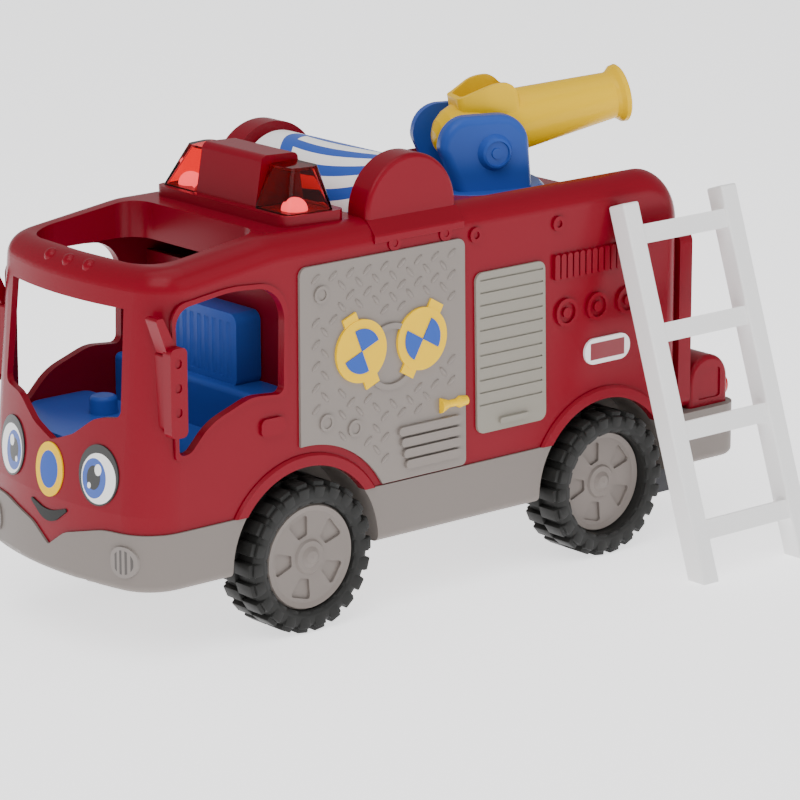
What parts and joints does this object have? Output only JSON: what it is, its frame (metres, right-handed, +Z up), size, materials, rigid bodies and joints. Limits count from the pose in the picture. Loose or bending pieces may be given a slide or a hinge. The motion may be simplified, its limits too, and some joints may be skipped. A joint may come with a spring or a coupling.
{
  "type": "toy fire engine",
  "caption": "Child's plastic fire engine with open cab, spinning drum, swivelling water cannon on a turntable, rolling wheels, pressable figure pegs and a separate leaning ladder.",
  "frame": {"origin": "middle of the whole box seen from above, on the floor", "axes": "+X from the tail to the nose, +Y to the truck's left, where the ladder leans, +Z up"},
  "size_m": [0.2724, 0.1472, 0.1673],
  "materials": {
    "red_body": "satin",
    "warm_grey": "satin",
    "panel_grey": "satin",
    "shutter_grey": "satin",
    "dark_grey": "matte",
    "blue": "satin",
    "yellow": "satin",
    "steel": "satin",
    "circuit": "satin",
    "black": "matte",
    "cells": "gloss",
    "white": "satin",
    "drum_white": "satin",
    "red_lens": "gloss",
    "tyre": "satin"
  },
  "bodies": {
    "chassis": {"body_shell": "red_body", "roof_shell": "red_body", "skirt_chassis": "warm_grey", "cab_interior": "blue", "driver_peg_spring": "steel", "passenger_peg_spring": "steel", "circuit_board": "circuit", "speaker": "black", "speaker_bracket": "dark_grey", "battery_box": "dark_grey", "batteries": "cells", "battery_contacts": "steel", "battery_cover": "warm_grey", "tread_plate_panel_left": "panel_grey", "tread_plate_panel_right": "panel_grey", "hose_reel_discs": "yellow", "reel_quadrants": "blue", "hose_nozzles": "yellow", "roller_shutter_left": "shutter_grey", "roller_shutter_right": "shutter_grey", "side_badges": "white", "wing_mirror_left": "red_body", "wing_mirror_right": "red_body", "nose_ring": "yellow", "nose_disc": "blue", "eye_panels": "white", "mouth_panel": "black", "light_lens_left": "red_lens", "light_lens_right": "red_lens", "lamp_domes": "white", "drum_axle": "steel", "drum_cover_left": "red_body", "drum_cover_right": "red_body", "cover_screws": "red_body", "turntable_spindle": "dark_grey", "rear_panel": "red_body", "tail_pods": "red_body", "tail_lamps": "red_lens", "rear_valance": "dark_grey", "fog_lamps": "warm_grey"},
    "front_wheels": {"front_axle": "steel", "front_hub_left": "warm_grey", "front_hub_right": "warm_grey", "front_tyre_left": "tyre", "front_tyre_right": "tyre"},
    "rear_wheels": {"rear_axle": "steel", "rear_hub_left": "warm_grey", "rear_hub_right": "warm_grey", "rear_tyre_left": "tyre", "rear_tyre_right": "tyre"},
    "drum": {"drum": "drum_white", "drum_beads": "yellow"},
    "turntable": {"cannon_bracket": "blue", "cannon_pivot_pin": "blue"},
    "cannon": {"cannon_barrel": "yellow"},
    "driver_peg": {"driver_peg": "blue"},
    "passenger_peg": {"passenger_peg": "blue"},
    "ladder": {"ladder": "white"}
  },
  "joints": [
    {"name": "front_wheels_spin", "type": "hinge", "parent": "chassis", "child": "front_wheels", "pos_m": [0.0648, -0.0226, 0.026], "axis": [0, 1, 0], "continuous": true},
    {"name": "rear_wheels_spin", "type": "hinge", "parent": "chassis", "child": "rear_wheels", "pos_m": [-0.069, -0.0226, 0.026], "axis": [0, 1, 0], "continuous": true},
    {"name": "drum_spin", "type": "hinge", "parent": "chassis", "child": "drum", "pos_m": [0.0155, -0.0226, 0.1346], "axis": [0, 1, 0], "continuous": true},
    {"name": "turntable_swivel", "type": "hinge", "parent": "chassis", "child": "turntable", "pos_m": [-0.0472, -0.0226, 0.118], "axis": [0, 0, 1], "range_deg": [-70, 110]},
    {"name": "cannon_tilt", "type": "hinge", "parent": "turntable", "child": "cannon", "pos_m": [-0.04908, -0.02192, 0.1428], "axis": [0.342, 0.9397, 0], "range_deg": [-10, 20]},
    {"name": "driver_peg_press", "type": "slide", "parent": "chassis", "child": "driver_peg", "axis": [0, 0, -1], "range_m": [0, 0.0015], "stiffness_N_per_m": 700, "springref_m": -0.001, "deforming": ["driver_peg_spring"]},
    {"name": "passenger_peg_press", "type": "slide", "parent": "chassis", "child": "passenger_peg", "axis": [0, 0, -1], "range_m": [0, 0.0015], "stiffness_N_per_m": 700, "springref_m": -0.001, "deforming": ["passenger_peg_spring"]},
    {"name": "ladder_lift", "type": "slide", "parent": "chassis", "child": "ladder", "axis": [0, 0, 1], "range_m": [0, 0.16]}
  ]
}
